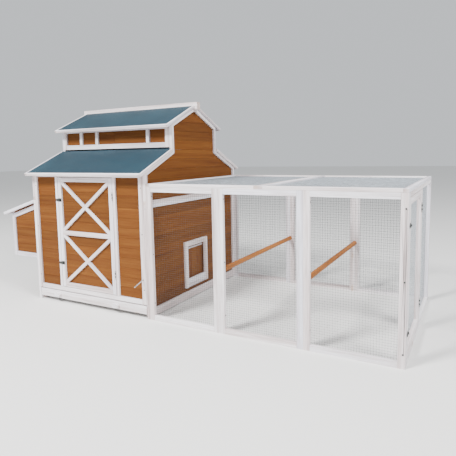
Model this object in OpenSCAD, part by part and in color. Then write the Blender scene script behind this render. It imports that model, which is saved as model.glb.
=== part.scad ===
// Barn-style chicken coop with a raised clerestory roof, a nest box on its left side
// and a three-bay wire run on its right side.
// Every board, sheet and fitting is a solid of its own, cut to meet its neighbours
// with one small joint gap. Millimetres, front of the coop towards -Y.

/* [House] */
// Width of the house across its front
house_w = 957; // [820:5:1200]
// Depth of the house and of the run
house_d = 1080; // [940:5:1320]
// Height of the side panels at the front and rear edges
eave_h = 861; // [810:1:1040]
// Distance of the raised roof's walls from the front and rear edges
step_y = 273; // [230:1:330]
// Height of the raised roof's walls above the lower roofs
step_h = 167; // [135:1:200]
// Slope of all four roofs
roof_angle = 24.4; // [18:0.1:28]
// Thickness of every framed panel
panel_t = 20; // [16:0.5:26]
// Width of the white trim and rails
trim_w = 21; // [18:1:40]
// Width of a cladding board
plank_w = 59; // [45:1:80]
// Thickness of a cladding board
plank_t = 8; // [6:0.5:10]
// Height of the joint between lower side panel and gable panel
band_h = 678; // [660:1:730]
// Clearance between the front wall's bottom and the ground
floor_h = 82; // [80:1:110]

/* [Barn door] */
// Width of the barn door's leaf
door_w = 462; // [380:1:560]
// Distance of the door's hinged edge from the right side of the house
door_x = 255; // [225:1:290]
// Width of the door's stiles and top rail
door_stile = 28; // [24:1:48]
// Width of a crossed brace
brace_w = 21; // [16:1:36]
// Running gap round a door leaf
door_gap = 3; // [2:0.5:5]

/* [Pop door] */
// Width of the small doorway into the run
pop_w = 208; // [160:1:250]
// Height of the small doorway
pop_h = 220; // [180:1:260]
// Height of the doorway's sill above the ground
pop_z = 138; // [112:1:150]
// Distance of the doorway from the front
pop_y = 414; // [340:1:480]
// Diameter of the pull rod
rod_d = 7; // [5:0.5:8]
// Length of the pull rod in front of the house
rod_out = 80; // [50:1:100]

/* [Nest box] */
// Length of the nest box along the side of the house
nest_l = 960; // [780:5:960]
// Depth of the nest box away from the house
nest_w = 315; // [260:1:380]
// Height of the nest box's underside above the ground
nest_z = 262; // [240:1:300]
// Height of the outer wall of the nest box
nest_h = 298; // [240:1:310]
// Slope of the lid
lid_angle = 17; // [12:0.5:20]
// Overhang of the lid beyond the outer wall
lid_over = 62; // [30:1:80]
// Number of nests
nests = 3; // [2:1:4]

/* [Tray] */
// Height of the tray's front board
tray_h = 50; // [40:1:52]
// Thickness of the steel pan
pan_t = 1.5; // [1:0.1:2.5]

/* [Run] */
// Number of bays
bays = 3; // [2:1:4]
// Length of one bay
bay_l = 470; // [380:5:600]
// Height of the run
run_h = 800; // [720:5:830]
// Width of the run's stiles
run_stile = 33; // [28:1:46]
// Thickness of the run's top frames
top_t = 18; // [14:1:24]
// Diameter of a perch
perch_d = 28; // [16:1:32]
// Height of the perches' centre line
perch_z = 340; // [250:5:450]
// Thickness of the wire mesh
mesh_t = 1.2; // [0.8:0.1:2]

/* [Roof] */
// Overhang of the roofs past the side panels
roof_over = 9; // [3:1:40]
// Overhang of the lower eaves past the walls
eave_over = 45; // [20:1:60]
// Overhang of the upper eaves past the raised walls
upper_over = 52; // [20:1:60]
// Thickness of a roof panel's white edge
roof_t = 18; // [16:1:34]
// Width of a roof panel's white edge
edge_w = 12; // [10:1:30]
// Thickness of the roofing felt
felt_t = 3; // [2:0.5:5]

/* [Hidden] */
$fn = 48;

// Colours
white = [0.89, 0.87, 0.87];
stain = [0.69, 0.42, 0.21];
teal = [0.31, 0.45, 0.50];
steel = [0.72, 0.73, 0.74];

// Gap left at every joint between boards, and the level that puts a foot on the ground
joint = 0.3;
ground = -joint / 2;
inset = joint / 2;

// House, seen from the front: the right side panel's outer face is x = 0
left_x = -house_w;
left_in = left_x + panel_t;
right_in = -panel_t;
rear_in = house_d - panel_t;
mid_y = house_d / 2;

// Roof lines in the depth and height plane
slope = tan(roof_angle);
rise = trim_w / cos(roof_angle);
step_z = eave_h + slope * step_y;
upper_z = step_z + step_h;
apex_z = upper_z + slope * (mid_y - step_y);
rail_top = band_h - trim_w;
sill_z = 8;
sill_top = sill_z + 46;
side_stile = 38;
side_rows = round((rail_top - sill_top) / plank_w);
side_pitch = (rail_top - sill_top) / side_rows;
plank_in = panel_t - plank_t;

// Front wall
wall_stile = 30;
front_stiles = [21, 33];
wall_rail = 28;
jamb_w = 20;
lintel_z = eave_h - wall_rail;
door_x1 = -door_x;
door_x0 = door_x1 - door_w;
door_z0 = floor_h + wall_rail + door_gap;
door_z1 = lintel_z - door_gap;
door_mid = (door_z0 + door_z1) / 2;
door_mid_rail = 28;

// Butt hinges: the pin stands proud of the face by the knuckle's radius
leaf_h = 50;
leaf_w = 17;
leaf_t = 0.9;
leaf_in = door_gap / 2 - leaf_t;
leaf_gap = 0.1;
knuckle_r = 3;
pin_r = 1.5;
pin_fit = 0.1;
knuckles = 5;
barn_hinge_z = [238, 720];
latch_barn_z = [271, 685];

// Turn latches: plate, arm and pivot head, stacked out from the door's face
latch_l = 42;
latch_w = 16;
latch_t = 1.8;
latch_plate = [24, 22, 1.2];
latch_lift = 2.4;
pivot_r = 2;
head_r = 5;
head_out = 7;

// Tray
tray_z0 = 26;
tray_t = 18;
tray_x = [left_in + 4, right_in - 4];
runner = [20, 20];
runner_z = tray_z0 + 2 - runner[1];
pan_wall = 42;
pan_back = rear_in - 12;
tray_pull = 0.85 * house_d;
knob_x = [-0.8 * house_w, -door_x - 4];
knob = [50, 24, 18];

// Pop door
track_lip = 12;
track_t = 4.3;
pop_t = 8;
pop_x1 = right_in - joint - track_t - joint;
pop_x0 = pop_x1 - pop_t;
pop_lap = 16;
pop_board = 32;
pop_sill = 56;
pop_frame_t = 15;
pop_travel = pop_w + pop_lap;
pop_top = pop_z + pop_h;
track_keep = pop_x0 - joint - 8;
rod_x = pop_x0 - 8;
rod_z = 232;
rod_bend = 12;
rod_tilt = 18;
rod_fit = 0.3;
rod_block = [15, 34, 20];

// A white bar across the top of the doorway, below a narrow slot
slot_h = 13;
bar_h = 11;

// Nest box
nest_y0 = mid_y - nest_l / 2;
nest_y1 = mid_y + nest_l / 2;
nest_x = left_x - nest_w;
nest_t = 15;
nest_rail = 29;
nest_slope = tan(lid_angle);
nest_top = nest_z + nest_h;
nest_at_wall = nest_top + nest_slope * nest_w;
nest_cut_z = sill_top + side_pitch * ceil((nest_z + 10 - sill_top) / side_pitch);
lid_t = 20;
lid_edge = 20;
lid_side = 22;
lid_lift = 12;
lid_wall_gap = 9;
lid_pin = [left_x - lid_wall_gap, nest_at_wall + lid_lift + lid_t / cos(lid_angle)
           - nest_slope * lid_wall_gap + knuckle_r / cos(lid_angle)];
lid_run = (nest_w + lid_over - lid_wall_gap) / cos(lid_angle);
lid_hinge_y = [nest_y0 + nest_l * 0.2, nest_y1 - nest_l * 0.2];

// Run
run_gap = 0.2;
run_x1 = run_gap + bays * bay_l;
run_bottom = 30;
run_top_rail = 29;
run_z = run_h - top_t;
end_stile = 26;
end_mid = 40;
end_rail = 20;
end_x0 = run_x1 - panel_t;
run_door_y1 = mid_y - end_mid / 2 - door_gap;
run_door_y0 = panel_t + end_stile + door_gap;
run_door_z0 = run_bottom + door_gap;
run_door_z1 = run_z - end_rail - door_gap;
run_door_stile = 34;
run_hinge_z = [150, 664];
latch_run_z = [143, 634];
top_stile = 24;
mesh_lap = 12;
screw_z = [66, 393, 714];
screw_r = 2;
screw_head = [4, 1.6];
screw_x = run_x1 - panel_t / 2;
screw_l = 42;

// Ridge beam
ridge_w = 40;
ridge_h = 48;
ridge_over = 30;
ridge_z = apex_z - 16;

// Clerestory: mullions measured from the left side of the house, as shares of its front
mullion_w = 23;
mullion_x = [for (s = [0.190, 0.343, 0.801]) left_x + s * house_w];
clere_sill = step_z + 56;
clere_rail = 27;
clere_foot = roof_t / cos(roof_angle) + 5;

// The whole coop's box, whose bottom centre is the origin
x_lo = left_x - lid_wall_gap - lid_run * cos(lid_angle) - lid_t * sin(lid_angle);
x_hi = run_x1 + head_out;
y_lo = -rod_out;
y_hi = house_d + eave_over + roof_t * sin(roof_angle);

module place() {
    translate([-(x_lo + x_hi) / 2, -(y_lo + y_hi) / 2, 0]) children();
}

// A board filling a span in each direction, short of it by half a joint on every side
module board(x, y, z) {
    translate([x[0] + inset, y[0] + inset, z[0] + inset])
        cube([x[1] - x[0] - joint, y[1] - y[0] - joint, z[1] - z[0] - joint]);
}

// An outline moved inwards by d, points counter-clockwise
function unit(v) = v / norm(v);
function left_of(v) = [-v[1], v[0]];
function shrink(p, d) = [for (i = [0:len(p) - 1])
    let (a = p[(i + len(p) - 1) % len(p)], b = p[i], c = p[(i + 1) % len(p)],
         m = left_of(unit(b - a)), n = left_of(unit(c - b)))
    b + d * (m + n) / (1 + m * n)];

// A board cut to an outline in depth and height, running along x
module cut_board(x, outline) {
    translate([x[0] + inset, 0, 0])
        rotate([90, 0, 90]) linear_extrude(x[1] - x[0] - joint)
            polygon(shrink(outline, inset));
}

// A board cut to an outline in width and height, running along y
module cut_board_y(y, outline) {
    translate([0, y[1] - inset, 0])
        rotate([90, 0, 0]) linear_extrude(y[1] - y[0] - joint)
            polygon(shrink(outline, inset));
}

// Rows of horizontal boards filling a field
module planks(x, y, z) {
    rows = max(1, round((z[1] - z[0]) / plank_w));
    pitch = (z[1] - z[0]) / rows;
    for (i = [0:rows - 1])
        board(x, y, [z[0] + i * pitch, z[0] + (i + 1) * pitch]);
}

// A rectangular frame: stiles over its full height, rails between them
function pair(w) = [w, w];
module frame_x(x, y, z, stiles, bottom, top) {
    inner = [x[0] + stiles[0], x[1] - stiles[1]];
    for (s = [[x[0], inner[0]], [inner[1], x[1]]]) board(s, y, z);
    for (r = [[max(z[0], ground), z[0] + bottom], [z[1] - top, z[1]]]) board(inner, y, r);
}
module frame_y(x, y, z, stile, bottom, top) {
    for (s = [[y[0], y[0] + stile], [y[1] - stile, y[1]]]) board(x, s, z);
    for (r = [[max(z[0], ground), z[0] + bottom], [z[1] - top, z[1]]])
        board(x, [y[0] + stile, y[1] - stile], r);
}

// Mirrors a piece to the rear half of the house
module both_ends() {
    children();
    translate([0, house_d, 0]) mirror([0, 1, 0]) children();
}

// ---- Side panels ----

module side_frame(x) {
    color(white) {
        for (y = [[0, side_stile], [house_d - side_stile, house_d]])
            board(x, y, [ground, band_h]);
        board(x, [side_stile, house_d - side_stile], [sill_z, sill_top]);
        board(x, [side_stile, house_d - side_stile], [rail_top, band_h]);
    }
}

module side_planks(x) {
    for (i = [0:side_rows - 1])
        board(x, [side_stile, house_d - side_stile],
              [sill_top + i * side_pitch, sill_top + (i + 1) * side_pitch]);
}

module side_frame_right() place() side_frame([right_in, 0]);
module side_frame_left() place() side_frame([left_x, left_in]);

module side_boards_right() {
    place() color(stain) difference() {
        side_planks([right_in, right_in + plank_t]);
        translate([right_in - 1, pop_y, pop_z]) cube([plank_t + 2, pop_w, pop_h]);
    }
}

module side_boards_left() {
    place() color(stain) difference() {
        side_planks([left_in - plank_t, left_in]);
        translate([left_x - 1, nest_y0 + nest_t, nest_cut_z])
            cube([panel_t + 2, nest_l - 2 * nest_t, rail_top - nest_cut_z]);
    }
}

// ---- Gables ----

module gable_trim(x) {
    in_lower = eave_h + slope * trim_w - rise;
    in_step = eave_h + slope * (step_y + trim_w) - rise;
    in_upper = upper_z + slope * trim_w - rise;
    color(white) {
        board(x, [0, house_d], [band_h, band_h + trim_w]);
        both_ends() {
            cut_board(x, [[0, band_h + trim_w], [trim_w, band_h + trim_w],
                          [trim_w, in_lower], [0, eave_h]]);
            cut_board(x, [[0, eave_h], [trim_w, in_lower],
                          [step_y + trim_w, in_step], [step_y, step_z]]);
            cut_board(x, [[step_y, step_z], [step_y + trim_w, in_step],
                          [step_y + trim_w, in_upper], [step_y, upper_z]]);
            cut_board(x, [[step_y, upper_z], [step_y + trim_w, in_upper],
                          [mid_y, apex_z - rise], [mid_y, ridge_z],
                          [mid_y - ridge_w / 2, ridge_z],
                          [mid_y - ridge_w / 2, apex_z - slope * ridge_w / 2]]);
        }
    }
}

// Half of the opening inside the gable's trim
module gable_field(x) {
    in_y = step_y + trim_w + inset;
    low = inset + rise;
    both_ends() {
        translate([x[0], 0, 0]) rotate([90, 0, 90]) linear_extrude(x[1] - x[0]) polygon([
            [trim_w + inset, 0], [mid_y + 1, 0], [mid_y + 1, apex_z - low - slope],
            [mid_y, apex_z - low], [in_y, upper_z + slope * (in_y - step_y) - low],
            [in_y, eave_h + slope * in_y - low],
            [trim_w + inset, eave_h + slope * (trim_w + inset) - low]]);
    }
}

module gable_boards(x) {
    base = band_h + trim_w;
    rows = ceil((apex_z - rise - base) / plank_w);
    color(stain) intersection() {
        gable_field([x[0] - 1, x[1] + 1]);
        for (i = [0:rows - 1])
            board(x, [0, house_d], [base + i * plank_w, base + (i + 1) * plank_w]);
    }
}

module gable_trim_right() place() gable_trim([right_in, 0]);
module gable_trim_left() place() gable_trim([left_x, left_in]);
module gable_boards_right() place() gable_boards([right_in, right_in + plank_t]);
module gable_boards_left() place() gable_boards([left_in - plank_t, left_in]);

// ---- Front and rear walls ----

module front_frame() {
    y = [0, panel_t];
    place() color(white) difference() {
        union() {
            frame_x([left_in, right_in], y, [floor_h, eave_h], front_stiles, wall_rail,
                    wall_rail);
            for (x = [door_x0 - door_gap - jamb_w, door_x1 + door_gap])
                board([x, x + jamb_w], y, [floor_h + wall_rail, lintel_z]);
        }
        translate([rod_x, panel_t + 1, rod_z]) rotate([90, 0, 0])
            cylinder(r = rod_d / 2 + rod_fit, h = panel_t + 2);
    }
}

module front_boards() {
    y = [plank_in, panel_t];
    z = [floor_h + wall_rail, lintel_z];
    place() color(stain) {
        planks([left_in + front_stiles[0], door_x0 - door_gap - jamb_w], y, z);
        planks([door_x1 + door_gap + jamb_w, right_in - front_stiles[1]], y, z);
    }
}

module rear_frame() {
    y = [rear_in, house_d];
    mid = (left_in + right_in) / 2;
    place() color(white) {
        frame_x([left_in, right_in], y, [tray_z0, eave_h], pair(wall_stile), wall_rail,
                wall_rail);
        board([mid - jamb_w / 2, mid + jamb_w / 2], y,
              [tray_z0 + wall_rail, lintel_z]);
    }
}

module rear_boards() {
    y = [rear_in, rear_in + plank_t];
    z = [tray_z0 + wall_rail, lintel_z];
    mid = (left_in + right_in) / 2;
    place() color(stain) {
        planks([left_in + wall_stile, mid - jamb_w / 2], y, z);
        planks([mid + jamb_w / 2, right_in - wall_stile], y, z);
    }
}

// ---- Raised roof's walls ----

module clerestory_frames() {
    y = [step_y, step_y + panel_t];
    z = [step_z + clere_foot, upper_z];
    place() color(white) both_ends() {
        frame_x([left_in, right_in], y, z, front_stiles, clere_sill - z[0], clere_rail);
        for (x = mullion_x)
            board([x - mullion_w / 2, x + mullion_w / 2], y, [clere_sill, z[1] - clere_rail]);
    }
}

module clerestory_boards() {
    y = [step_y + plank_in, step_y + panel_t];
    z = [clere_sill, upper_z - clere_rail];
    half = mullion_w / 2;
    ends = [left_in + front_stiles[0], mullion_x[0] - half, mullion_x[0] + half,
            mullion_x[1] - half, mullion_x[1] + half, -house_w / 2, -house_w / 2,
            mullion_x[2] - half, mullion_x[2] + half, right_in - front_stiles[1]];
    place() color(stain) both_ends() {
        for (i = [0:2:len(ends) - 1]) board([ends[i], ends[i + 1]], y, z);
    }
}

// ---- Roofs ----

// A roof panel on a slope: a deck on a white frame, and a white batten on the frame at the
// eave and down both ends. u runs up the slope from the wall's edge; the upper end leans
// with the slope, so each layer reaches further up than the one below it.
roof_in_x = [left_x - roof_over + edge_w, roof_over - edge_w];
deck_z = [roof_t - felt_t - 10, roof_t - felt_t - 2];
function leant(u, z) = [u[0], u[1] + slope * z];

module roof_panel(u) {
    low = [ground + joint, roof_t / 2];
    color(white) {
        for (z = [low, [low[1], roof_t]]) {
            for (e = [left_x - roof_over, roof_in_x[1]])
                board([e, e + edge_w], leant(u, z[0]), z);
            board(roof_in_x, [u[0], u[0] + edge_w], z);
        }
        board(roof_in_x, [u[1] - edge_w, u[1]], [low[0], deck_z[0]]);
        board(roof_in_x, leant([u[0] + edge_w, u[1]], deck_z[0]), deck_z);
    }
}

module roof_felt(u) {
    color(teal) board(roof_in_x, leant([u[0] + edge_w, u[1]], deck_z[1]),
                      [deck_z[1], deck_z[1] + felt_t]);
}

module lower_slope() translate([0, 0, eave_h]) rotate([roof_angle, 0, 0]) children();
module upper_slope() translate([0, step_y, upper_z]) rotate([roof_angle, 0, 0]) children();
module rear() translate([0, house_d, 0]) mirror([0, 1, 0]) children();

lower_u = [-eave_over / cos(roof_angle), (step_y - 2) / cos(roof_angle)];
upper_u = [-upper_over / cos(roof_angle),
           (mid_y - step_y - ridge_w / 2) / cos(roof_angle)];

module roof_lower_front() place() lower_slope() roof_panel(lower_u);
module roof_lower_rear() place() rear() lower_slope() roof_panel(lower_u);
module roof_upper_front() place() upper_slope() roof_panel(upper_u);
module roof_upper_rear() place() rear() upper_slope() roof_panel(upper_u);

module roof_felts() {
    place() both_ends() {
        lower_slope() roof_felt(lower_u);
        upper_slope() roof_felt(upper_u);
    }
}

module ridge_beam() {
    place() color(white)
        board([left_x - ridge_over, ridge_over], [mid_y - ridge_w / 2, mid_y + ridge_w / 2],
              [ridge_z, ridge_z + ridge_h]);
}

// ---- Inside the house ----

module tray_runners() {
    place() color(white) for (x = [left_in, right_in - runner[0]])
        board([x, x + runner[0]], [tray_t + 4, rear_in], [runner_z, runner_z + runner[1]]);
}

module house_perch() {
    y = [0.7 * house_d - 19, 0.7 * house_d + 19];
    place() color(stain) {
        board([left_in, right_in], y, [190, 210]);
        for (x = [left_in, right_in - 20]) board([x, x + 20], y, [160, 190]);
    }
}

// ---- Pop door ----

module pop_frame() {
    x = [right_in + plank_t, right_in + plank_t + pop_frame_t];
    y = [pop_y - pop_board, pop_y + pop_w + pop_board];
    place() color(white)
        frame_y(x, y, [pop_z - pop_sill, pop_top + pop_board], pop_board, pop_sill, pop_board);
}

module pop_tracks() {
    y = [pop_y - pop_travel - pop_lap - 20, pop_y + pop_w + pop_lap + 6];
    near = [right_in - joint / 2 - track_t - inset, right_in];
    far = [track_keep, pop_x0 - inset];
    low = pop_z - pop_lap - joint;
    high = pop_top + pop_lap + joint;
    place() color(white) {
        for (x = [near, far]) board(x, y, [low, pop_z - 4]);
        board(near, y, [pop_top + 2, high]);
        board(near, y, [pop_top - slot_h - bar_h, pop_top - slot_h]);
        board(far, y, [pop_top - track_lip, high]);
        board([track_keep, right_in], y, [low - 11, low]);
        board([track_keep, right_in], y, [high, high + 11]);
    }
}

module pop_door_panel() {
    y = [pop_y - pop_lap, pop_y + pop_w + pop_lap];
    block_y = [y[0] + 8, y[0] + 8 + rod_block[1]];
    place() color(stain) {
        board([pop_x0, pop_x1], y, [pop_z - pop_lap, pop_top + pop_lap]);
        difference() {
            board([pop_x0 - rod_block[0], pop_x0], block_y,
                  [rod_z - rod_block[2] / 2, rod_z + rod_block[2] / 2]);
            translate([rod_x, block_y[1] + 1, rod_z]) rotate([90, 0, 0])
                cylinder(r = rod_d / 2 + pin_fit, h = rod_block[1] + 2);
        }
    }
}

module pull_rod() {
    r = rod_d / 2;
    end_y = pop_y - pop_lap + 8 + rod_block[1] - 2;
    reach = (rod_out - rod_bend - r * sin(rod_tilt)) / cos(rod_tilt);
    place() color(steel) {
        translate([rod_x, end_y, rod_z]) rotate([90, 0, 0]) cylinder(r = r, h = end_y + rod_bend);
        translate([rod_x, -rod_bend, rod_z]) sphere(r = r);
        translate([rod_x, -rod_bend, rod_z]) rotate([90 + rod_tilt, 0, 0])
            cylinder(r = r, h = reach);
    }
}

// ---- Nest box ----

// Height of the nest box's sloping top at a distance from the wall's face
function nest_line(x) = nest_at_wall + nest_slope * (x - left_x);

module nest_frame() {
    place() color(white) {
        rail = nest_rail / cos(lid_angle);
        in_x = nest_x + nest_rail;
        for (y = [[nest_y0, nest_y0 + nest_t], [nest_y1 - nest_t, nest_y1]]) {
            cut_board_y(y, [[nest_x, nest_z], [in_x, nest_z], [in_x, nest_line(in_x) - rail],
                            [nest_x, nest_line(nest_x)]]);
            board([in_x, left_x], y, [nest_z, nest_z + nest_rail]);
            cut_board_y(y, [[nest_x, nest_line(nest_x)], [in_x, nest_line(in_x) - rail],
                            [left_x, nest_line(left_x) - rail], [left_x, nest_line(left_x)]]);
        }
        outer = [nest_y0 + nest_t, nest_y1 - nest_t];
        board([nest_x, nest_x + nest_t], outer, [nest_z, nest_z + nest_rail]);
        board([nest_x, nest_x + nest_t], outer, [nest_top - nest_rail, nest_top]);
    }
}

module nest_boards() {
    rows = round((nest_h - nest_rail) / plank_w);
    field = [nest_z + nest_rail, nest_top - nest_rail];
    in_x = nest_x + nest_rail;
    rail = nest_rail / cos(lid_angle);
    place() color(stain) {
        for (y = [[nest_y0 + nest_t - plank_t, nest_y0 + nest_t],
                  [nest_y1 - nest_t, nest_y1 - nest_t + plank_t]])
            intersection() {
                cut_board_y([y[0] - 1, y[1] + 1],
                            [[in_x, field[0]], [left_x, field[0]],
                             [left_x, nest_line(left_x) - rail],
                             [in_x, nest_line(in_x) - rail]]);
                for (i = [0:rows + 1])
                    board([in_x, left_x], y,
                          [field[0] + i * plank_w, field[0] + (i + 1) * plank_w]);
            }
        planks([nest_x + nest_t - plank_t, nest_x + nest_t],
               [nest_y0 + nest_t, nest_y1 - nest_t], field);
    }
}

module nest_floor() {
    x = [nest_x + nest_t, left_in - plank_t];
    y = [nest_y0 + nest_t, nest_y1 - nest_t];
    top = nest_z + 16;
    pitch = (y[1] - y[0]) / nests;
    wall_h = 0.6 * nest_h;
    place() color(stain) {
        board([x[0], left_x], y, [top - plank_t, top]);
        for (i = [1:nests - 1])
            board([x[0], left_x], [y[0] + i * pitch - plank_t / 2, y[0] + i * pitch + plank_t / 2],
                  [top, top + wall_h]);
        board([left_x, x[1]], y, [nest_cut_z, nest_cut_z + 50]);
    }
}

// The lid's own plane: u runs down the slope from the end near the wall
module lid_plane() {
    translate([left_x - lid_wall_gap, 0, nest_line(left_x - lid_wall_gap) + lid_lift])
        rotate([0, -lid_angle, 0]) children();
}

module nest_lid() {
    u = [-lid_run, 0];
    y = [nest_y0 - lid_side, nest_y1 + lid_side];
    place() lid_plane() color(white) {
        for (e = [y[0], y[1] - lid_edge]) board(u, [e, e + lid_edge], [0, lid_t]);
        for (v = [[u[0], u[0] + lid_edge], [u[1] - 30, u[1]]])
            board(v, [y[0] + lid_edge, y[1] - lid_edge], [0, lid_t]);
        board([u[0] + lid_edge, u[1] - 30], [y[0] + lid_edge, y[1] - lid_edge],
              [lid_t - felt_t - 11, lid_t - felt_t - 1]);
    }
}

// Cleats under the lid that hold it clear of the box's ends
module nest_lid_cleats() {
    reach = (nest_w - nest_t - lid_wall_gap) / cos(lid_angle);
    place() lid_plane() color(stain)
        for (y = [nest_y0 + 3, nest_y1 - nest_t + 2])
            board([-reach, -2], [y, y + nest_t - 5], [-lid_lift * cos(lid_angle), 0]);
}

module nest_lid_felt() {
    y = [nest_y0 - lid_side, nest_y1 + lid_side];
    place() lid_plane() color(teal)
        board([-lid_run + lid_edge, -30], [y[0] + lid_edge, y[1] - lid_edge],
              [lid_t - felt_t - 1, lid_t - 1]);
}

// ---- Tray ----

module tray_front() {
    place() color(white) {
        board(tray_x, [0, tray_t], [tray_z0, tray_z0 + tray_h]);
        for (x = knob_x)
            translate([x, 0, tray_z0 + tray_h / 2 - 2]) rotate([90, 0, 0])
                linear_extrude(knob[2]) {
                    square([knob[0] - knob[1], knob[1]], center = true);
                    for (s = [-1, 1]) translate([s * (knob[0] - knob[1]) / 2, 0])
                        circle(d = knob[1]);
                }
    }
}

module tray_pan() {
    z0 = runner_z + runner[1] + inset;
    size = [tray_x[1] - tray_x[0], pan_back - tray_t - joint, pan_wall];
    place() color(steel) translate([tray_x[0], tray_t + joint, z0]) difference() {
        cube(size);
        translate([pan_t, pan_t, pan_t])
            cube([size[0] - 2 * pan_t, size[1] - 2 * pan_t, size[2]]);
    }
}

// ---- Barn door ----

module barn_door_frame() {
    x = [door_x0, door_x1];
    y = [0, panel_t];
    low = [door_z0 + door_stile, door_mid - door_mid_rail / 2];
    high = [door_mid + door_mid_rail / 2, door_z1 - door_stile];
    place() color(white) {
        frame_x(x, y, [door_z0, door_z1], pair(door_stile), door_stile, door_stile);
        board([x[0] + door_stile, x[1] - door_stile], y, [low[1], high[0]]);
        for (z = [low, high]) cross_brace([x[0] + door_stile, x[1] - door_stile], z);
    }
}

// Two crossed braces in a field: one whole, the other in two halves that meet it
module cross_brace(x, z) {
    y = [0, plank_in];
    mid = [(x[0] + x[1]) / 2, (z[0] + z[1]) / 2];
    angle = atan2(z[1] - z[0], x[1] - x[0]);
    reach = norm([x[1] - x[0], z[1] - z[0]]);
    intersection() {
        board(x, y, z);
        translate([mid[0], 0, mid[1]]) rotate([0, -angle, 0])
            board([-reach, reach], [-1, panel_t], [-brace_w / 2, brace_w / 2]);
    }
    for (s = [-1, 1]) intersection() {
        board(x, y, z);
        translate([mid[0], 0, mid[1]]) difference() {
            rotate([0, angle, 0])
                board(s < 0 ? [-reach, 0] : [0, reach], [-1, panel_t],
                      [-brace_w / 2, brace_w / 2]);
            rotate([0, -angle, 0])
                translate([-reach, -2, -brace_w / 2 - inset])
                    cube([2 * reach, panel_t + 3, brace_w + joint]);
        }
    }
}

module barn_door_boards() {
    x = [door_x0 + door_stile, door_x1 - door_stile];
    y = [plank_in, panel_t];
    place() color(stain) {
        planks(x, y, [door_z0 + door_stile, door_mid - door_mid_rail / 2]);
        planks(x, y, [door_mid + door_mid_rail / 2, door_z1 - door_stile]);
    }
}

// ---- Hinges ----

// One leaf and its knuckles. The leaf is let into the gap beside the door, square to a face
// whose outward side is -Y, so that only the knuckles show.
// side is 1 for the leaf towards +X; first is the lowest knuckle it carries.
module leaf(side, first) {
    seg = leaf_h / knuckles;
    x = side > 0 ? leaf_in : -leaf_in - leaf_t;
    difference() {
        union() {
            translate([x, knuckle_r + leaf_gap, 0]) cube([leaf_t, leaf_w - knuckle_r, leaf_h]);
            for (i = [first:2:knuckles - 1]) translate([0, 0, i * seg + inset]) {
                cylinder(r = knuckle_r - leaf_gap, h = seg - joint);
                translate([x, 0, 0]) cube([leaf_t, knuckle_r + 1, seg - joint]);
            }
        }
        translate([0, 0, -1]) cylinder(r = pin_r + pin_fit, h = leaf_h + 2);
    }
}

// The same leaf lying flat on the face
module flat_leaf(side, first) {
    seg = leaf_h / knuckles;
    difference() {
        union() {
            translate([side > 0 ? knuckle_r + 0.5 : -knuckle_r - 0.5 - leaf_w,
                       knuckle_r - leaf_gap - leaf_t, 0])
                cube([leaf_w, leaf_t, leaf_h]);
            for (i = [first:2:knuckles - 1]) {
                translate([0, 0, i * seg + inset]) cylinder(r = knuckle_r - leaf_gap, h = seg - joint);
                translate([side > 0 ? 1 : -knuckle_r - 1, knuckle_r - leaf_gap - leaf_t,
                           i * seg + inset])
                    cube([knuckle_r, leaf_t, seg - joint]);
            }
        }
        translate([0, 0, -1]) cylinder(r = pin_r + pin_fit, h = leaf_h + 2);
    }
}

module pin() cylinder(r = pin_r, h = leaf_h);

barn_pin_x = door_x1 + door_gap / 2;
run_pin_y = run_door_y1 + door_gap / 2;

// Puts a hinge, drawn on a face that looks towards -Y, on its own place
module on_barn_jamb() {
    for (z = barn_hinge_z) translate([barn_pin_x, -knuckle_r, z - leaf_h / 2]) children();
}
module on_run_end() {
    for (z = run_hinge_z)
        translate([run_x1 + knuckle_r, run_pin_y, z - leaf_h / 2]) rotate([0, 0, 90]) children();
}
module on_nest_wall() {
    for (y = lid_hinge_y)
        translate([lid_pin[0], y + leaf_h / 2, lid_pin[1]]) rotate([90, 0, 0]) children();
}

// The lid's leaves: one stands on the wall, the other lies on the lid
module wall_leaf() rotate([0, 0, 90]) mirror([0, 1, 0]) lid_leaf_plate(1, 0, lid_wall_gap);
module lid_leaf_plate(side, first, out) {
    seg = leaf_h / knuckles;
    difference() {
        union() {
            translate([side * (knuckle_r + 0.5), out - leaf_gap - leaf_t, 0])
                cube([leaf_w, leaf_t, leaf_h]);
            for (i = [first:2:knuckles - 1]) translate([0, 0, i * seg + inset]) {
                cylinder(r = knuckle_r - leaf_gap, h = seg - joint);
                translate([-1, pin_r + 0.3, 0]) cube([2, out - leaf_gap - pin_r - 0.3, seg - joint]);
                translate([-1, out - leaf_gap - leaf_t, 0])
                    cube([knuckle_r + 2, leaf_t, seg - joint]);
            }
        }
        translate([0, 0, -1]) cylinder(r = pin_r + pin_fit, h = leaf_h + 2);
    }
}

module hinge_leaves() {
    place() color(steel) {
        on_barn_jamb() leaf(1, 0);
        on_run_end() leaf(1, 0);
        on_nest_wall() wall_leaf();
    }
}

module hinge_pins() {
    place() color(steel) {
        on_barn_jamb() pin();
        on_run_end() pin();
        on_nest_wall() pin();
    }
}

module nest_lid_leaves() {
    place() color(steel) on_nest_wall()
        rotate([0, 0, lid_angle]) mirror([1, 0, 0]) mirror([0, 1, 0]) flat_leaf(1, 1);
}

// ---- Latches ----

// Plate and pivot, on a face that looks towards -Y, the pivot at the origin
module latch_base() {
    translate([-latch_plate[0] / 2, -leaf_gap - latch_plate[2], -latch_plate[1] / 2])
        cube([latch_plate[0], latch_plate[2], latch_plate[1]]);
    translate([0, -latch_plate[2] / 2, 0]) rotate([90, 0, 0])
        cylinder(r = pivot_r, h = head_out - latch_plate[2] / 2 - 1);
    translate([0, -head_out + 2, 0]) rotate([90, 0, 0]) cylinder(r = head_r, h = 2);
}

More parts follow.
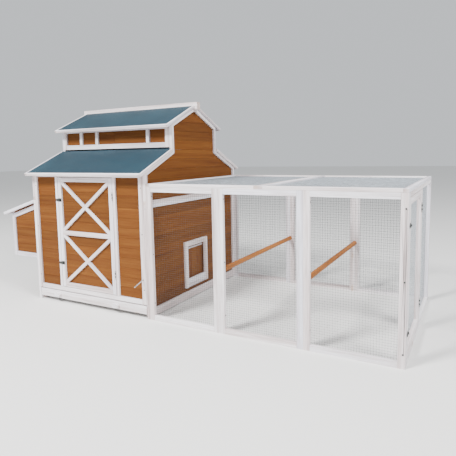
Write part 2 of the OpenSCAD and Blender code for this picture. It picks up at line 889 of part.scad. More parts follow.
// The arm turns on the pivot and reaches over the frame beside the door
module latch_arm() {
    translate([0, -latch_lift, 0]) rotate([90, 0, 0]) linear_extrude(latch_t) difference() {
        union() {
            circle(d = latch_w);
            translate([latch_w - latch_l, -latch_w / 2]) square([latch_l - latch_w, latch_w]);
            translate([latch_w - latch_l, 0]) circle(d = latch_w);
        }
        circle(r = pivot_r + pin_fit);
    }
}

barn_latch_x = door_x0 + 15;
run_latch_y = run_door_y0 + 17;
module on_barn_door(z) translate([barn_latch_x, 0, z]) children();
module on_run_door(z) translate([run_x1, run_latch_y, z]) rotate([0, 0, 90]) children();

module barn_door_hardware() {
    place() color(steel) {
        on_barn_jamb() leaf(-1, 1);
        for (z = latch_barn_z) on_barn_door(z) latch_base();
    }
}
module barn_latch_lower() place() color(steel) on_barn_door(latch_barn_z[0]) latch_arm();
module barn_latch_upper() place() color(steel) on_barn_door(latch_barn_z[1]) latch_arm();

module run_door_hardware() {
    place() color(steel) {
        on_run_end() leaf(-1, 1);
        for (z = latch_run_z) on_run_door(z) latch_base();
    }
}
module run_latch_lower() place() color(steel) on_run_door(latch_run_z[0]) latch_arm();
module run_latch_upper() place() color(steel) on_run_door(latch_run_z[1]) latch_arm();

// ---- Run ----

module bay_frame(i, y) {
    x0 = run_gap + i * bay_l;
    place() color(white) difference() {
        frame_x([x0, x0 + bay_l], y, [ground, run_z], pair(run_stile), run_bottom, run_top_rail);
        if (i == bays - 1) screw_bores();
    }
}

module run_front_frame_1() bay_frame(0, [0, panel_t]);
module run_front_frame_2() bay_frame(1, [0, panel_t]);
module run_front_frame_3() for (i = [2:bays - 1]) bay_frame(i, [0, panel_t]);
module run_rear_frame_1() bay_frame(0, [rear_in, house_d]);
module run_rear_frame_2() bay_frame(1, [rear_in, house_d]);
module run_rear_frame_3() for (i = [2:bays - 1]) bay_frame(i, [rear_in, house_d]);

module corner_screw() {
    rotate([-90, 0, 0]) cylinder(r = screw_r, h = screw_l);
    translate([0, inset, 0]) rotate([90, 0, 0])
        cylinder(r = screw_head[0], h = screw_head[1]);
}
module at_screws() both_ends() for (z = screw_z) translate([screw_x, 0, z]) children();
module screw_bores() {
    at_screws() translate([0, -1, 0]) rotate([-90, 0, 0])
        cylinder(r = screw_r + pin_fit, h = screw_l + 1.5);
}
module corner_screws() place() color(steel) at_screws() corner_screw();

module run_end_frame() {
    x = [end_x0, run_x1];
    y = [panel_t, rear_in];
    place() color(white) difference() {
        union() {
            frame_y(x, y, [ground, run_z], end_stile, run_bottom, end_rail);
            board(x, [mid_y - end_mid / 2, mid_y + end_mid / 2],
                  [run_bottom, run_z - end_rail]);
        }
        screw_bores();
    }
}

module run_top_frames() {
    half = (run_x1 - run_gap) / 2;
    place() color(white) for (x0 = [run_gap, run_gap + half]) {
        for (x = [x0, x0 + half - top_stile])
            board([x, x + top_stile], [0, house_d], [run_z, run_h]);
        for (y = [0, house_d - run_stile])
            board([x0 + top_stile, x0 + half - top_stile], [y, y + run_stile], [run_z, run_h]);
    }
}

// Wire mesh, stapled to the inner faces of the frames
module bay_mesh(y) {
    place() color(steel) for (i = [0:bays - 1]) {
        x0 = run_gap + i * bay_l;
        board([x0 + run_stile - mesh_lap, x0 + bay_l - run_stile + mesh_lap], y,
              [run_bottom - mesh_lap, run_z - run_top_rail + mesh_lap]);
    }
}
module run_mesh_front() bay_mesh([panel_t, panel_t + mesh_t]);
module run_mesh_rear() bay_mesh([rear_in - mesh_t, rear_in]);

module run_mesh_top() {
    half = (run_x1 - run_gap) / 2;
    place() color(steel) for (x0 = [run_gap, run_gap + half])
        board([x0 + top_stile, x0 + half - top_stile], [run_stile, house_d - run_stile],
              [run_z + top_t / 2, run_z + top_t / 2 + mesh_t]);
}

module run_mesh_end() {
    place() color(steel)
        board([end_x0 - mesh_t, end_x0],
              [mid_y + end_mid / 2 - mesh_lap, rear_in - end_stile + mesh_lap],
              [run_bottom - mesh_lap, run_z - end_rail + mesh_lap]);
}

module run_perches() {
    place() color(stain) for (i = [1:bays - 1])
        translate([run_gap + i * bay_l, panel_t + joint, perch_z]) rotate([-90, 0, 0])
            cylinder(d = perch_d, h = house_d - 2 * panel_t - 2 * joint);
}

module run_door_frame() {
    place() color(white)
        frame_y([end_x0, run_x1], [run_door_y0, run_door_y1], [run_door_z0, run_door_z1],
                run_door_stile, run_door_stile, run_door_stile);
}

module run_door_mesh() {
    place() color(steel)
        board([end_x0 - mesh_t, end_x0],
              [run_door_y0 + run_door_stile - mesh_lap, run_door_y1 - run_door_stile + mesh_lap],
              [run_door_z0 + run_door_stile - mesh_lap, run_door_z1 - run_door_stile + mesh_lap]);
}

side_frame_right();
side_frame_left();
side_boards_right();
side_boards_left();
gable_trim_right();
gable_trim_left();
gable_boards_right();
gable_boards_left();
front_frame();
front_boards();
rear_frame();
rear_boards();
clerestory_frames();
clerestory_boards();
roof_lower_front();
roof_lower_rear();
roof_upper_front();
roof_upper_rear();
roof_felts();
ridge_beam();
tray_runners();
house_perch();
pop_frame();
pop_tracks();
pop_door_panel();
pull_rod();
nest_frame();
nest_boards();
nest_floor();
nest_lid();
nest_lid_cleats();
nest_lid_felt();
nest_lid_leaves();
tray_front();
tray_pan();
barn_door_frame();
barn_door_boards();
barn_door_hardware();
barn_latch_upper();
barn_latch_lower();
run_front_frame_1();
run_front_frame_2();
run_front_frame_3();
run_rear_frame_1();
run_rear_frame_2();
run_rear_frame_3();
run_end_frame();
run_top_frames();
run_mesh_front();
run_mesh_rear();
run_mesh_top();
run_mesh_end();
run_perches();
run_door_frame();
run_door_mesh();
run_door_hardware();
run_latch_upper();
run_latch_lower();
hinge_leaves();
hinge_pins();
corner_screws();
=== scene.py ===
import math

import bpy
import numpy as np
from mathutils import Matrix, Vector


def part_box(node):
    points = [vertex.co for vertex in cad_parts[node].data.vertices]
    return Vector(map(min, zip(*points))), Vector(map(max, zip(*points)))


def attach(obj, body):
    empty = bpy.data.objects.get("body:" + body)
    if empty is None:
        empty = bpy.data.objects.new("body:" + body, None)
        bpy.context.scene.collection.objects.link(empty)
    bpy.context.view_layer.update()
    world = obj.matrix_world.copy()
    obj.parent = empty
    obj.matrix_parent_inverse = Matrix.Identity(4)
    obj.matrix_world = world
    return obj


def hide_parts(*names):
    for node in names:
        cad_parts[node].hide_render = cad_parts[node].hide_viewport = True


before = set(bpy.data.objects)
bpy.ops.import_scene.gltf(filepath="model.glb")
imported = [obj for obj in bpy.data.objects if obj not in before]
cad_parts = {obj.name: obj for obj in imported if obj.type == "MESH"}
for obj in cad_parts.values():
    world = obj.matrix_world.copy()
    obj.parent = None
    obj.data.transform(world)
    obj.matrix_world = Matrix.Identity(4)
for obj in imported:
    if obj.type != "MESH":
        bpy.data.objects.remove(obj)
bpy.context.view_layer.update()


# ---- White framing timber ------------------------------------------------------------
# Planed softwood battens and rails under one thin coat of white wash. They are cut to
# length, butted and nailed, with edges eased by hand, and the grain still shows through.

framing_nodes = [
    "side_frame_right", "side_frame_left", "gable_trim_right", "gable_trim_left",
    "front_frame", "rear_frame", "clerestory_frames", "roof_lower_front",
    "roof_lower_rear", "roof_upper_front", "roof_upper_rear", "ridge_beam",
    "tray_runners", "pop_frame", "pop_tracks", "nest_frame", "nest_lid", "tray_front",
    "barn_door_frame", "run_front_frame_1", "run_front_frame_2", "run_front_frame_3",
    "run_rear_frame_1", "run_rear_frame_2", "run_rear_frame_3", "run_end_frame",
    "run_top_frames", "run_door_frame"]
framing_edge = 0.0012
corner_digits = 5


def loose_pieces(mesh):
    """Vertex indices of each separate board of a node, found through shared corners."""
    corners = {}
    parent = list(range(len(mesh.vertices)))

    def find(i):
        while parent[i] != i:
            parent[i] = parent[parent[i]]
            i = parent[i]
        return i

    for vertex in mesh.vertices:
        key = tuple(round(c, corner_digits) for c in vertex.co)
        first = corners.setdefault(key, vertex.index)
        parent[find(vertex.index)] = find(first)
    for polygon in mesh.polygons:
        for index in polygon.vertices[1:]:
            parent[find(index)] = find(polygon.vertices[0])
    groups = {}
    for i in range(len(parent)):
        groups.setdefault(find(i), []).append(i)
    return [np.array(group) for group in groups.values()]


flat_cosine = 0.999


def board_edges(mesh):
    """Edges where two faces of a board meet, leaving out the diagonals inside a flat face."""
    sides = {}
    for polygon in mesh.polygons:
        for key in polygon.edge_keys:
            sides.setdefault(key, []).append(polygon.normal.copy())
    return [key for key, normals in sides.items()
            if len(normals) == 1 or normals[0].dot(normals[1]) < flat_cosine]


length_digits = 9
steep = 0.7
grain_shift = 20


def lay_grain(node, seed):
    """Gives every board of a node its own grain: x runs along the board's length."""
    mesh = node.data
    edges = board_edges(mesh)
    places = np.array([vertex.co for vertex in mesh.vertices])
    grain = np.zeros_like(places)
    length_way = np.zeros_like(places)
    tone = np.zeros(len(places))
    rng = np.random.default_rng(seed)
    owner = {}
    for number, group in enumerate(loose_pieces(mesh)):
        for index in group:
            owner[index] = number
        long_edge = max(
            (places[b] - places[a] for a, b in edges if owner.get(a) == number),
            key=lambda edge: round(float(edge @ edge), length_digits))
        along = long_edge / np.linalg.norm(long_edge)
        if along[np.argmax(abs(along))] < 0:
            along = -along
        side = np.cross(along, (0, 0, 1) if abs(along[2]) < steep else (0, 1, 0))
        side /= np.linalg.norm(side)
        axes = np.array([along, side, np.cross(along, side)])
        middle = places[group].mean(0)
        shift = rng.uniform(-grain_shift, grain_shift, 3)
        grain[group] = (places[group] - middle) @ axes.T + shift
        length_way[group] = along
        tone[group] = rng.uniform(0, 1)
    for name, values in (("grain", grain), ("length_way", length_way)):
        layer = mesh.attributes.new(name, "FLOAT_VECTOR", "POINT")
        layer.data.foreach_set("vector", values.ravel())
    layer = mesh.attributes.new("tone", "FLOAT", "POINT")
    layer.data.foreach_set("value", tone)


weld_reach = 0.00001
arris_steps = 2
arris_angle = math.radians(30)


def ease_edges(node, width):
    """Rounds the arrises of a node's boards, as sanding does."""
    if "custom_normal" in node.data.attributes:
        node.data.attributes.remove(node.data.attributes["custom_normal"])
    node.data.polygons.foreach_set("use_smooth", [False] * len(node.data.polygons))
    weld = node.modifiers.new("weld", "WELD")
    weld.merge_threshold = weld_reach
    bevel = node.modifiers.new("eased edges", "BEVEL")
    bevel.width = width
    bevel.segments = arris_steps
    bevel.limit_method = "ANGLE"
    bevel.angle_limit = arris_angle


def new_material(name):
    """A node material with its Principled shader."""
    material = bpy.data.materials.new(name)
    material.use_nodes = True
    nodes = material.node_tree.nodes
    return material, nodes, material.node_tree.links, nodes["Principled BSDF"]


def grain_noise(nodes, links, scale, detail, rough=0.55, distortion=0.0):
    """Noise stretched along the board, in the board's own coordinates."""
    source = nodes.new("ShaderNodeAttribute")
    source.attribute_name = "grain"
    stretch = nodes.new("ShaderNodeMapping")
    stretch.inputs["Scale"].default_value = scale
    noise = nodes.new("ShaderNodeTexNoise")
    noise.inputs["Scale"].default_value = 1
    noise.inputs["Detail"].default_value = detail
    noise.inputs["Roughness"].default_value = rough
    noise.inputs["Distortion"].default_value = distortion
    links.new(source.outputs["Vector"], stretch.inputs["Vector"])
    links.new(stretch.outputs["Vector"], noise.inputs["Vector"])
    return noise.outputs["Fac"]


def ramp(nodes, links, value, stops):
    """A colour ramp; stops are (place, colour)."""
    node = nodes.new("ShaderNodeValToRGB")
    for spare in list(node.color_ramp.elements)[1:]:
        node.color_ramp.elements.remove(spare)
    for number, (place, colour) in enumerate(stops):
        element = (node.color_ramp.elements[0] if number == 0
                   else node.color_ramp.elements.new(place))
        element.position = place
        element.color = (*colour, 1)
    links.new(value, node.inputs["Fac"])
    return node.outputs["Color"]


def mix(nodes, links, a, b, factor, blend="MIX"):
    """Mixes two colours; each may be a socket or a plain colour, the factor too."""
    node = nodes.new("ShaderNodeMix")
    node.data_type = "RGBA"
    node.blend_type = blend
    for socket, given in ((node.inputs[0], factor), (node.inputs[6], a), (node.inputs[7], b)):
        if isinstance(given, bpy.types.NodeSocket):
            links.new(given, socket)
        elif isinstance(given, (int, float)):
            socket.default_value = given
        else:
            socket.default_value = (*given, 1)
    return node.outputs[2]


def relief(nodes, links, height, distance, strength=0.6):
    """Bump from a height, for the shader's normal."""
    node = nodes.new("ShaderNodeBump")
    node.inputs["Distance"].default_value = distance
    node.inputs["Strength"].default_value = strength
    links.new(height, node.inputs["Height"])
    return node.outputs["Normal"]


knot_heart = 0.45


def knots(nodes, links, size, stretch, reach):
    """A mask that is 1 at scattered oval knots in the boards."""
    source = nodes.new("ShaderNodeAttribute")
    source.attribute_name = "grain"
    place = nodes.new("ShaderNodeMapping")
    place.inputs["Scale"].default_value = stretch
    cells = nodes.new("ShaderNodeTexVoronoi")
    cells.inputs["Scale"].default_value = size
    edge = nodes.new("ShaderNodeMapRange")
    edge.interpolation_type = "SMOOTHSTEP"
    edge.inputs["From Min"].default_value = reach
    edge.inputs["From Max"].default_value = reach * knot_heart
    links.new(source.outputs["Vector"], place.inputs["Vector"])
    links.new(place.outputs["Vector"], cells.inputs["Vector"])
    links.new(cells.outputs["Distance"], edge.inputs["Value"])
    return edge.outputs["Result"]


end_starts = 0.86
end_full = 0.97


def cut_ends(nodes, links):
    """A mask that is 1 on the sawn ends of the boards, where the face looks along the grain."""
    place = nodes.new("ShaderNodeTexCoord")
    source = nodes.new("ShaderNodeAttribute")
    source.attribute_name = "length_way"
    facing = nodes.new("ShaderNodeVectorMath")
    facing.operation = "DOT_PRODUCT"
    links.new(place.outputs["Normal"], facing.inputs[0])
    links.new(source.outputs["Vector"], facing.inputs[1])
    size = nodes.new("ShaderNodeMath")
    size.operation = "ABSOLUTE"
    links.new(facing.outputs["Value"], size.inputs[0])
    edge = nodes.new("ShaderNodeMapRange")
    edge.inputs["From Min"].default_value = end_starts
    edge.inputs["From Max"].default_value = end_full
    links.new(size.outputs["Value"], edge.inputs["Value"])
    return edge.outputs["Result"]


def weaker(nodes, links, mask, strength):
    """A mask made weaker."""
    node = nodes.new("ShaderNodeMath")
    node.operation = "MULTIPLY"
    node.inputs[1].default_value = strength
    links.new(mask, node.inputs[0])
    return node.outputs["Value"]


wash_streaks = [
    (0.30, (0.48, 0.41, 0.40)), (0.44, (0.76, 0.70, 0.70)), (0.60, (0.95, 0.93, 0.95))]
wash_fibres = [(0.36, (0.66, 0.62, 0.61)), (0.58, (1, 1, 1))]
wash_by_board = [(0.0, (0.88, 0.82, 0.81)), (0.5, (1, 1, 1)), (1.0, (0.84, 0.86, 0.93))]
washed_knot = (0.50, 0.34, 0.22)
bare_pine = (0.44, 0.30, 0.21)
knot_shape = (0.9, 3.0, 3.0)


def white_wash():
    """Thin white paint: soft streaks of grain, faint knots, bare tan showing at sawn ends."""
    material, nodes, links, shader = new_material("white_wash")
    broad = grain_noise(nodes, links, scale=(1.1, 26, 26), detail=5, rough=0.62, distortion=0.15)
    fibre = grain_noise(nodes, links, scale=(7, 380, 380), detail=3)
    colour = ramp(nodes, links, broad, wash_streaks)
    streaks = ramp(nodes, links, fibre, wash_fibres)
    colour = mix(nodes, links, colour, streaks, factor=0.7, blend="MULTIPLY")
    knot = knots(nodes, links, size=3.2, stretch=knot_shape, reach=0.12)
    colour = mix(nodes, links, colour, washed_knot, weaker(nodes, links, knot, strength=0.55))
    tone = nodes.new("ShaderNodeAttribute")
    tone.attribute_name = "tone"
    cast = ramp(nodes, links, tone.outputs["Fac"], wash_by_board)
    colour = mix(nodes, links, colour, cast, factor=1.0, blend="MULTIPLY")
    bare = weaker(nodes, links, cut_ends(nodes, links), strength=0.45)
    colour = mix(nodes, links, colour, bare_pine, bare)
    links.new(colour, shader.inputs["Base Color"])
    links.new(relief(nodes, links, fibre, distance=0.0002), shader.inputs["Normal"])
    shader.inputs["Roughness"].default_value = 0.62
    shader.inputs["Specular IOR Level"].default_value = 0.35
    return material


def wear(node, material):
    """Puts one material on a CAD node."""
    node.data.materials.clear()
    node.data.materials.append(material)


white_paint = white_wash()
for seed, name in enumerate(framing_nodes):
    lay_grain(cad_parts[name], seed)
    ease_edges(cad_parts[name], framing_edge)
    wear(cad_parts[name], white_paint)


# ---- Stained cladding ----------------------------------------------------------------
# Softwood boards with a clear orange-brown stain, laid level with a small V at each
# joint. Every board took the stain a little differently.

# nest_lid_cleats wears the stain, though like the lid it is likely white: under the lid its dark
# brown is painted shade, added to the real shade of the gap.
cladding_nodes = [
    "side_boards_right", "side_boards_left", "gable_boards_right", "gable_boards_left",
    "front_boards", "rear_boards", "clerestory_boards", "pop_door_panel", "nest_boards",
    "nest_floor", "nest_lid_cleats", "barn_door_boards"]
cladding_edge = 0.002
cladding_seed = 100
stain_figure = [
    (0.26, (0.106, 0.033, 0.005)), (0.42, (0.134, 0.045, 0.007)),
    (0.58, (0.155, 0.056, 0.009)), (0.76, (0.184, 0.072, 0.013))]
stain_fibres = [(0.38, (0.66, 0.58, 0.50)), (0.60, (1, 1, 1))]
stain_by_board = [
    (0.0, (0.84, 0.80, 0.78)), (0.35, (1.0, 0.96, 0.90)),
    (0.7, (1.05, 1.0, 1.0)), (1.0, (1.16, 1.12, 1.05))]
stained_knot = (0.10, 0.032, 0.012)


def stained_pine():
    """Orange-brown stained pine: flat-sawn figure, fine fibres, dark knots, tone by board."""
    material, nodes, links, shader = new_material("stained_pine")
    figure = grain_noise(nodes, links, scale=(1.3, 34, 34), detail=4, rough=0.58, distortion=0.12)
    fibre = grain_noise(nodes, links, scale=(6, 430, 430), detail=3)
    colour = ramp(nodes, links, figure, stain_figure)
    streaks = ramp(nodes, links, fibre, stain_fibres)
    colour = mix(nodes, links, colour, streaks, factor=0.6, blend="MULTIPLY")
    tone = nodes.new("ShaderNodeAttribute")
    tone.attribute_name = "tone"
    cast = ramp(nodes, links, tone.outputs["Fac"], stain_by_board)
    colour = mix(nodes, links, colour, cast, factor=1.0, blend="MULTIPLY")
    knot = knots(nodes, links, size=2.6, stretch=knot_shape, reach=0.11)
    colour = mix(nodes, links, colour, stained_knot, weaker(nodes, links, knot, strength=0.75))
    links.new(colour, shader.inputs["Base Color"])
    links.new(relief(nodes, links, fibre, distance=0.0003), shader.inputs["Normal"])
    shader.inputs["Roughness"].default_value = 0.6
    shader.inputs["Specular IOR Level"].default_value = 0.15
    return material


stain = stained_pine()
for seed, name in enumerate(cladding_nodes):
    lay_grain(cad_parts[name], cladding_seed + seed)
    ease_edges(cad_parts[name], cladding_edge)
    wear(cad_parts[name], stain)


# ---- Perches -------------------------------------------------------------------------
# Turned poles across the run and one flat perch in the house, of softwood with a thinner
# coat of the stain, so that they stay a brighter orange than the boards.

perch_seed = 200
perch_lines = [
    (0.3, (0.27, 0.080, 0.010)), (0.5, (0.37, 0.125, 0.020)), (0.7, (0.45, 0.170, 0.034))]
perch_fibres = [(0.36, (0.78, 0.72, 0.66)), (0.6, (1, 1, 1))]


def perch_pine():
    """Thinly stained turned softwood: long fibres and a few darker growth lines."""
    material, nodes, links, shader = new_material("perch_pine")
    lines = grain_noise(nodes, links, scale=(1.6, 90, 90), detail=4)
    fibre = grain_noise(nodes, links, scale=(6, 520, 520), detail=3)
    colour = ramp(nodes, links, lines, perch_lines)
    streaks = ramp(nodes, links, fibre, perch_fibres)
    colour = mix(nodes, links, colour, streaks, factor=0.6, blend="MULTIPLY")
    links.new(colour, shader.inputs["Base Color"])
    links.new(relief(nodes, links, fibre, distance=0.0003), shader.inputs["Normal"])
    shader.inputs["Roughness"].default_value = 0.65
    shader.inputs["Specular IOR Level"].default_value = 0.2
    return material


pole_wood = perch_pine()
for seed, name in enumerate(["run_perches", "house_perch"]):
    lay_grain(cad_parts[name], perch_seed + seed)
    wear(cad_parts[name], pole_wood)
ease_edges(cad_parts["house_perch"], cladding_edge)


# ---- Roofing felt --------------------------------------------------------------------
# Bitumen felt with a teal mineral face, cut into each roof panel and the nest box's lid
# between the white edges. The grit catches the light, and soft patches show its wear.

grit_scale = 620
patch_scale = 5
felt_patches = [(0.3, (0.006, 0.023, 0.036)), (0.7, (0.010, 0.036, 0.054))]
felt_grains = [(0.1, (0.45, 0.5, 0.5)), (0.55, (1, 1, 1)), (0.9, (1.9, 1.8, 1.7))]


def mineral_felt():
    """Teal mineral grit on bitumen, with pale and dark grains and soft weathered patches."""
    material, nodes, links, shader = new_material("mineral_felt")
    place = nodes.new("ShaderNodeTexCoord")
    grit = nodes.new("ShaderNodeTexVoronoi")
    grit.inputs["Scale"].default_value = grit_scale
    links.new(place.outputs["Object"], grit.inputs["Vector"])
    patches = nodes.new("ShaderNodeTexNoise")
    patches.inputs["Scale"].default_value = patch_scale
    patches.inputs["Detail"].default_value = 6
    links.new(place.outputs["Object"], patches.inputs["Vector"])
    base = ramp(nodes, links, patches.outputs["Fac"], felt_patches)
    grains = ramp(nodes, links, grit.outputs["Color"], felt_grains)
    colour = mix(nodes, links, base, grains, factor=0.8, blend="MULTIPLY")
    bumps = relief(nodes, links, grit.outputs["Distance"], distance=0.0006)
    links.new(colour, shader.inputs["Base Color"])
    links.new(bumps, shader.inputs["Normal"])
    shader.inputs["Roughness"].default_value = 0.55
    shader.inputs["Specular IOR Level"].default_value = 0.26
    return material


felt = mineral_felt()
for name in ("roof_felts", "nest_lid_felt"):
    wear(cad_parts[name], felt)


# ---- Welded wire ---------------------------------------------------------------------
# Galvanised wire welded in half-inch squares, one layer each way, cut to its panel and
# stapled inside the frame. One zinc in two copies: the front and rear sheets are painted dark
# for the shade that falls on them, the top, end and door sheets a light bluish copy, a
# painted reflection of the sky.

pitch = 0.0127
wire_radius = 0.00042
wire_seed = 300
wire_sides = 5
wire_step = 0.06
wire_bow = 0.0003
wire_waves = 9
layer_gap = 1.9
sheet_margin = 0.004
wire_end_gap = 0.001
zinc_dark = 0.72
zinc_light = 1.12


def zinc(name, colour, rough, scale):
    """Zinc coating with a faint crystalline cloud."""
    material, nodes, links, shader = new_material(name)
    place = nodes.new("ShaderNodeTexCoord")
    cloud = nodes.new("ShaderNodeTexNoise")
    cloud.inputs["Scale"].default_value = scale
    cloud.inputs["Detail"].default_value = 3
    links.new(place.outputs["Object"], cloud.inputs["Vector"])
    dark = tuple(c * zinc_dark for c in colour)
    light = tuple(min(1, c * zinc_light) for c in colour)
    clouded = ramp(nodes, links, cloud.outputs["Fac"], [(0.35, dark), (0.65, light)])
    links.new(clouded, shader.inputs["Base Color"])
    shader.inputs["Metallic"].default_value = 0.85
    shader.inputs["Roughness"].default_value = rough
    return material


def mesh_piece(name, points, faces, material, body):
    """A new piece from points and faces, riding on a body."""
    data = bpy.data.meshes.new(name)
    data.from_pydata([tuple(p) for p in points], [], faces)
    data.materials.append(material)
    piece = bpy.data.objects.new(name, data)
    bpy.context.scene.collection.objects.link(piece)
    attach(piece, body)
    return piece


def add_wire(points, faces, start, end, bow_axis, rng):
    """One straight wire with a slight bow, as a thin tube."""
    along = (end - start) / np.linalg.norm(end - start)
    side = np.zeros(3)
    side[bow_axis] = 1
    other = np.cross(along, side)
    steps = max(2, int(np.linalg.norm(end - start) / wire_step))
    first = len(points)
    phase = rng.uniform(0, 2 * math.pi)
    for i in range(steps + 1):
        share = i / steps
        bow = wire_bow * math.sin(phase + share * wire_waves) * math.sin(math.pi * share)
        middle = start + (end - start) * share + side * bow
        for k in range(wire_sides):
            turn = 2 * math.pi * k / wire_sides
            points.append(middle + wire_radius * (math.cos(turn) * side + math.sin(turn) * other))
    for i in range(steps):
        for k in range(wire_sides):
            a = first + i * wire_sides + k
            b = first + i * wire_sides + (k + 1) % wire_sides
            faces.append((a, b, b + wire_sides, a + wire_sides))
    faces.append(tuple(first + k for k in reversed(range(wire_sides))))
    faces.append(tuple(first + steps * wire_sides + k for k in range(wire_sides)))


def wire_sheets(node, body, material, seed):
    """Wires in place of every mesh plate of a node."""
    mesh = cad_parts[node].data
    places = np.array([vertex.co for vertex in mesh.vertices])
    rng = np.random.default_rng(seed)
    points = []
    faces = []
    for group in loose_pieces(mesh):
        low, high = places[group].min(0), places[group].max(0)
        thin = int(np.argmin(high - low))
        flat = [axis for axis in range(3) if axis != thin]
        for along, across, layer in ((flat[0], flat[1], -0.5), (flat[1], flat[0], 0.5)):
            count = int((high[across] - low[across] - sheet_margin) / pitch)
            spare = (high[across] - low[across] - count * pitch) / 2
            for i in range(count + 1):
                start = low.copy()
                end = high.copy()
                level = (low[thin] + high[thin]) / 2 + layer * wire_radius * layer_gap
                start[thin] = end[thin] = level
                start[across] = end[across] = low[across] + spare + i * pitch
                start[along] += wire_end_gap
                end[along] -= wire_end_gap
                add_wire(points, faces, start, end, across, rng)
    sheet = mesh_piece(node + "_wires", points, faces, material, body)
    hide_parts(node)


# Painted shade and painted reflection: a dark copy of the zinc for the shaded front and rear sheets,
# a light bluish copy for the sky that the other sheets reflect.
shade_dark_wire = zinc("shade_dark_wire", colour=(0.10, 0.10, 0.10), rough=0.55, scale=60)
sky_lit_wire = zinc("sky_lit_wire", colour=(0.52, 0.57, 0.62), rough=0.5, scale=60)
for seed, (node, body, material) in enumerate([
        ("run_mesh_front", "house", shade_dark_wire), ("run_mesh_rear", "house", shade_dark_wire),
        ("run_mesh_top", "house", sky_lit_wire), ("run_mesh_end", "house", sky_lit_wire),
        ("run_door_mesh", "run_door", sky_lit_wire)]):
    wire_sheets(node, body, material, wire_seed + seed)


# ---- Hinges, latches, screws, tray pan and rod ------------------------------------------
# Pressed and plated steel: butt hinges on pins, the pan and the pull rod in bright zinc.
# The turn latches, the door fittings and the run's corner screws have gone dark.

plate_zinc = zinc("plate_zinc", colour=(0.55, 0.55, 0.54), rough=0.35, scale=90)
for name in ["hinge_leaves", "hinge_pins", "nest_lid_leaves", "pull_rod", "tray_pan"]:
    wear(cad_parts[name], plate_zinc)
dark_steel = zinc("dark_steel", colour=(0.075, 0.08, 0.075), rough=0.38, scale=90)
for name in ["barn_door_hardware", "run_door_hardware", "barn_latch_upper",
             "barn_latch_lower", "run_latch_upper", "run_latch_lower", "corner_screws"]:
    wear(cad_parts[name], dark_steel)


# ---- Frame screws ---------------------------------------------------------------------------
# Steel wood screws with a domed, cross-slotted head. They pull each run panel to its
# neighbour through the inner faces of the stiles, and hold the house's corners and wall.

screw_sides = 24
screw_dome = 0.0011
screw_rings = [
    (1.0, -0.0004), (1.0, 0.0002), (0.82, 0.7 * screw_dome), (0.58, screw_dome),
    (0.5, screw_dome), (0.28, screw_dome), (0.1, screw_dome)]
slot_reach = 0.55
slot_half_width = 0.16
slot_depth = 0.9 * screw_dome
screw_turn = 0.7


def screw_heads(name, spots, radius, material, body):
    """Domed heads with a cross slot; each spot is (place, level outward direction)."""
    points = []
    faces = []
    for number, (place, outward) in enumerate(spots):
        out = np.array(outward, float)
        side = np.cross(out, (0, 0, 1))
        other = np.cross(out, side)
        first = len(points)
        spin = screw_turn * number
        for share, height in screw_rings:
            for k in range(screw_sides):
                turn = 2 * math.pi * k / screw_sides
                across = radius * share * np.array([math.cos(turn), math.sin(turn)])
                in_slot = share < slot_reach and min(abs(across)) < slot_half_width * radius
                level = height - (slot_depth if in_slot else 0)
                u = math.cos(spin) * across[0] - math.sin(spin) * across[1]
                v = math.sin(spin) * across[0] + math.cos(spin) * across[1]
                points.append(np.array(place) + u * side + v * other + level * out)
        for ring in range(len(screw_rings) - 1):
            for k in range(screw_sides):
                a = first + ring * screw_sides + k
                b = first + ring * screw_sides + (k + 1) % screw_sides
                faces.append((a, b, b + screw_sides, a + screw_sides))
        last = first + (len(screw_rings) - 1) * screw_sides
        faces.append(tuple(last + k for k in range(screw_sides)))
        faces.append(tuple(first + k for k in reversed(range(screw_sides))))
    piece = mesh_piece(name, points, faces, material, body)


panel_stile = 0.033
panel_screw_radius = 0.0036
panel_height_shares = (0.13, 0.5, 0.93)
panel_spots = []
for name in ["run_front_frame_1", "run_front_frame_2", "run_front_frame_3",
             "run_rear_frame_1", "run_rear_frame_2", "run_rear_frame_3"]:
    low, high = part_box(name)
    for share in panel_height_shares:
        for side_x, way in ((low[0] + panel_stile, 1), (high[0] - panel_stile, -1)):
            place = (side_x, (low[1] + high[1]) / 2, share * high[2])
            panel_spots.append((place, (way, 0, 0)))
screw_heads("panel_screws", panel_spots, panel_screw_radius, dark_steel, "house")

house_screw_radius = 0.0034
leg_inset = 0.010
leg_height_shares = (0.12, 0.52, 0.965)
leg_spots = []
for name in ["side_frame_right", "side_frame_left"]:
    low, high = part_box(name)
    for share in leg_height_shares:
        leg_spots.append(((low[0] + leg_inset, low[1], share * high[2]), (0, -1, 0)))
        leg_spots.append(((low[0] + leg_inset, high[1], share * high[2]), (0, 1, 0)))
screw_heads("leg_screws", leg_spots, house_screw_radius, plate_zinc, "house")

left_inset = 0.011
right_inset = 0.017
wall_height_shares = (0.2, 0.585, 0.9)
wall_spots = []
low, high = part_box("front_frame")
for share in wall_height_shares:
    for x in (low[0] + left_inset, high[0] - right_inset):
        wall_spots.append(((x, low[1], share * high[2]), (0, -1, 0)))
screw_heads("wall_screws", wall_spots, house_screw_radius, dark_steel, "house")


# ---- Wire staples ---------------------------------------------------------------------------
# Round-wire staples that hold each sheet of wire to the inner face of its frame, about
# every 9 cm along all four edges.

staple_crown = 0.011
staple_gap = 0.09
staple_radius = 0.0006
staple_inset = 0.006
shoulder_rise = 0.6
shoulder_in = 0.0005
crown_in = 0.0012


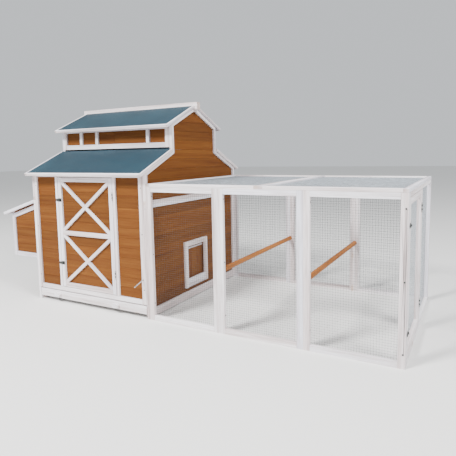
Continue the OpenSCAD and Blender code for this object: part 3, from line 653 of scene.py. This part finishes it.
def add_staple(points, faces, start, end, lift, inward):
    """One staple: a crown over the wire with both legs bent back into the timber."""
    along = (end - start) / np.linalg.norm(end - start)
    path = [start - lift,
            start + shoulder_rise * lift + shoulder_in * along,
            start + lift + crown_in * along,
            end + lift - crown_in * along,
            end + shoulder_rise * lift - shoulder_in * along,
            end - lift]
    other = np.cross(along, inward)
    first = len(points)
    for i, place in enumerate(path):
        on_crown = 1 < i < 4
        toward_middle = along if i < 2 else -along
        rise = inward if on_crown else toward_middle
        for k in range(wire_sides):
            turn = 2 * math.pi * k / wire_sides
            points.append(place + staple_radius * (math.cos(turn) * rise + math.sin(turn) * other))
    for i in range(len(path) - 1):
        for k in range(wire_sides):
            a = first + i * wire_sides + k
            b = first + i * wire_sides + (k + 1) % wire_sides
            faces.append((a, b, b + wire_sides, a + wire_sides))
    faces.append(tuple(first + k for k in reversed(range(wire_sides))))
    faces.append(tuple(first + (len(path) - 1) * wire_sides + k for k in range(wire_sides)))


def staples(name, node, inward, body, material):
    """Staples round every sheet of a node; inward is the side of the sheet that shows them."""
    places = np.array([vertex.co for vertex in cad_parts[node].data.vertices])
    inward = np.array(inward, float)
    thin = int(np.argmax(abs(inward)))
    flat = [axis for axis in range(3) if axis != thin]
    points = []
    faces = []
    for group in loose_pieces(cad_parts[node].data):
        low, high = places[group].min(0), places[group].max(0)
        level = high[thin] if inward[thin] > 0 else low[thin]
        for along, across in (flat, flat[::-1]):
            count = max(2, int((high[along] - low[along]) / staple_gap))
            for i in range(count):
                for edge, way in ((low[across] + staple_inset, 1), (high[across] - staple_inset, -1)):
                    middle = np.zeros(3)
                    middle[thin] = level
                    middle[across] = edge
                    middle[along] = low[along] + (i + 0.5) * (high[along] - low[along]) / count
                    half = np.zeros(3)
                    half[across] = way * staple_crown / 2
                    lift = inward * staple_radius
                    add_staple(points, faces, middle - half, middle + half, lift, inward)
    piece = mesh_piece(name, points, faces, material, body)


staples("front_staples", "run_mesh_front", (0, 1, 0), "house", plate_zinc)
staples("rear_staples", "run_mesh_rear", (0, -1, 0), "house", plate_zinc)
staples("end_staples", "run_mesh_end", (-1, 0, 0), "house", plate_zinc)
staples("door_staples", "run_door_mesh", (-1, 0, 0), "run_door", plate_zinc)


# ---- Floor, light and camera ------------------------------------------------------------
# A plain pale floor with soft daylight from above and the front, seen from about a metre
# up, in front of the run.

floor_size = 60
floor_colour = (0.80, 0.79, 0.77)


def pale_floor():
    """A wide matt floor."""
    bpy.ops.mesh.primitive_plane_add(size=floor_size)
    floor = bpy.context.object
    floor.name = "floor"
    material, nodes, links, shader = new_material("floor")
    shader.inputs["Base Color"].default_value = (*floor_colour, 1)
    shader.inputs["Roughness"].default_value = 0.9
    floor.data.materials.append(material)


def soft_light(name, place, aim, size, power):
    """A large soft area light."""
    light = bpy.data.lights.new(name, "AREA")
    light.shape = "DISK"
    light.size = size
    light.energy = power
    lamp = bpy.data.objects.new(name, light)
    bpy.context.scene.collection.objects.link(lamp)
    lamp.location = place
    look = bpy.data.objects.new(name + "_aim", None)
    bpy.context.scene.collection.objects.link(look)
    look.location = aim
    track = lamp.constraints.new("TRACK_TO")
    track.target = look
    track.track_axis = "TRACK_NEGATIVE_Z"
    track.up_axis = "UP_Y"


def sky(colour, strength):
    """Even light from all round."""
    world = bpy.data.worlds.new("sky")
    world.use_nodes = True
    back = world.node_tree.nodes["Background"]
    back.inputs["Color"].default_value = (*colour, 1)
    back.inputs["Strength"].default_value = strength
    bpy.context.scene.world = world


pale_floor()
sky(colour=(0.92, 0.96, 1.0), strength=0.8)
soft_light("key", place=(-1.6, -4.5, 5.2), aim=(0, 0, 0.4), size=1.5, power=880)
soft_light("fill", place=(4.4, -1.8, 4.8), aim=(0.3, 0, 0.4), size=2.0, power=420)

camera_place = (1.6132, -2.5528, 0.9545)
camera_turn = 0.4968
camera_tip = 0.1079
camera_roll = -0.0175
camera_data = bpy.data.cameras.new("camera")
camera_data.sensor_width = 36
camera_data.lens = 35.63
camera_data.shift_x = -0.0064
camera_data.shift_y = -0.0529
camera_data.clip_end = 100
camera = bpy.data.objects.new("camera", camera_data)
bpy.context.scene.collection.objects.link(camera)
camera.location = camera_place
camera.rotation_mode = "XYZ"
camera.rotation_euler = (math.pi / 2 - camera_tip, 0, camera_turn)
camera.rotation_euler.rotate_axis("Z", camera_roll)
bpy.context.scene.camera = camera
